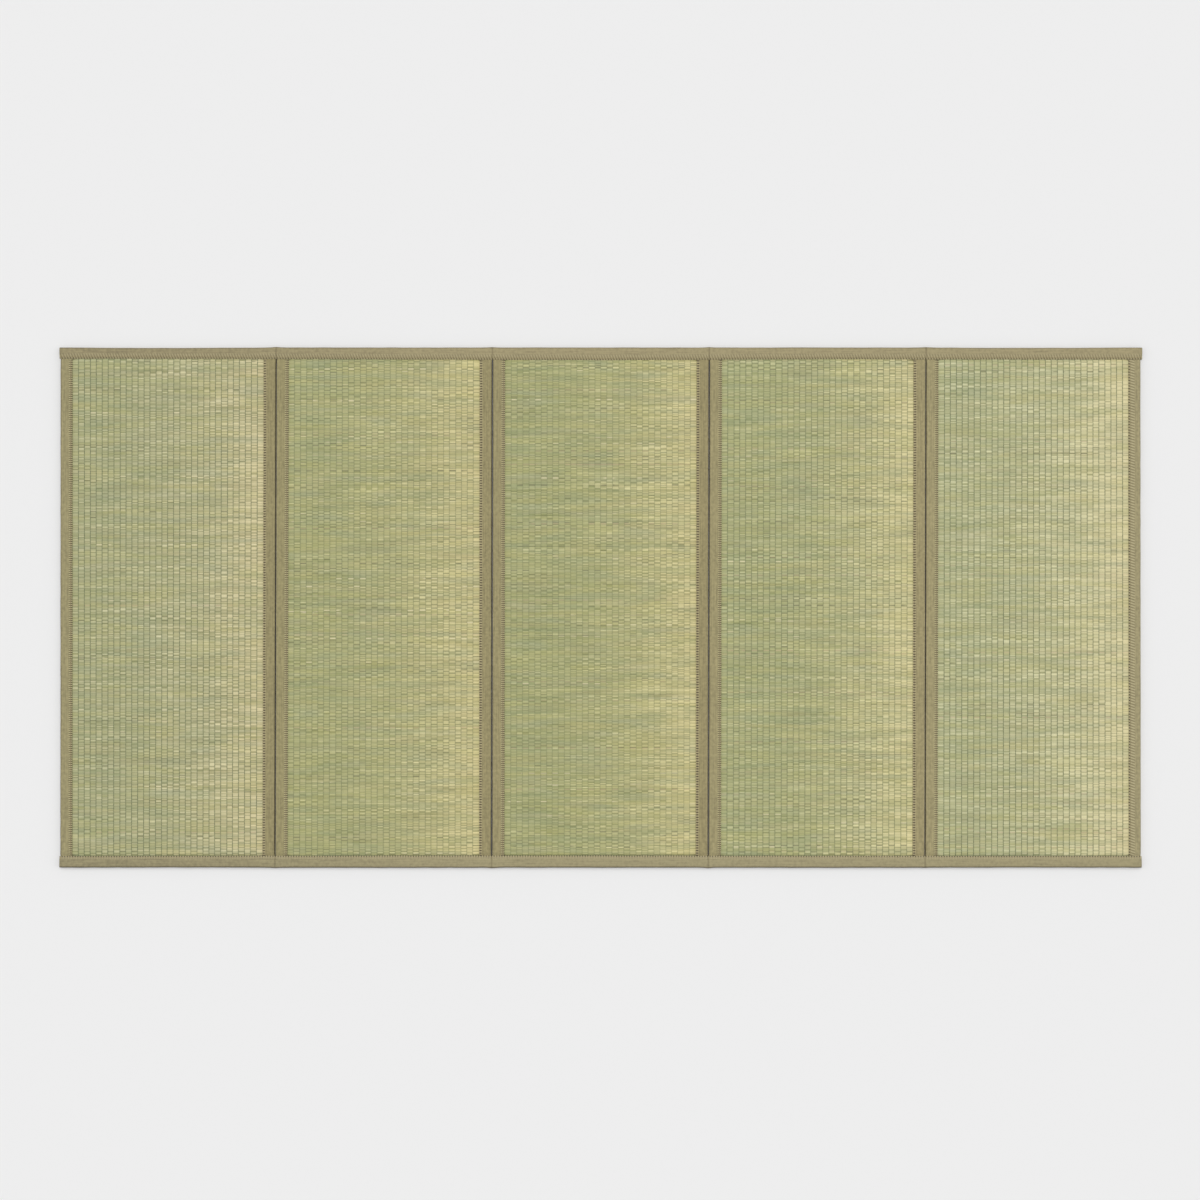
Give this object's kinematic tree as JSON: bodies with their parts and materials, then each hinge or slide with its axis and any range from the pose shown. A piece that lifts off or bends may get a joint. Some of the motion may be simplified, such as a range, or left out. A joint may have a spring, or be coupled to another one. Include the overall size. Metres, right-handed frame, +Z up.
{
  "type": "folding rush mat",
  "caption": "Flat folding floor mat of woven rush panels with cloth-bound edges, joined by long cloth tapes along both ends of the panels.",
  "frame": {"origin": "middle of the underside, on the floor", "axes": "+X along the mat, across its panels; +Y across it, along the ribs; +Z up"},
  "size_m": [2.08, 1.0024, 0.008],
  "materials": {
    "rush_weave": "woven dried rush, slightly glossy stalks",
    "side_tape": "matt cotton twill tape",
    "end_tape": "matt cotton twill tape"
  },
  "bodies": {
    "root": {"panel_1": "rush_weave", "panel_2": "rush_weave", "panel_3": "rush_weave", "panel_4": "rush_weave", "panel_5": "rush_weave", "side_binding_1_left": "side_tape", "side_binding_1_right": "side_tape", "side_binding_2_left": "side_tape", "side_binding_2_right": "side_tape", "side_binding_3_left": "side_tape", "side_binding_3_right": "side_tape", "side_binding_4_left": "side_tape", "side_binding_4_right": "side_tape", "side_binding_5_left": "side_tape", "side_binding_5_right": "side_tape", "end_binding_back": "end_tape", "end_binding_front": "end_tape"}
  },
  "joints": []
}
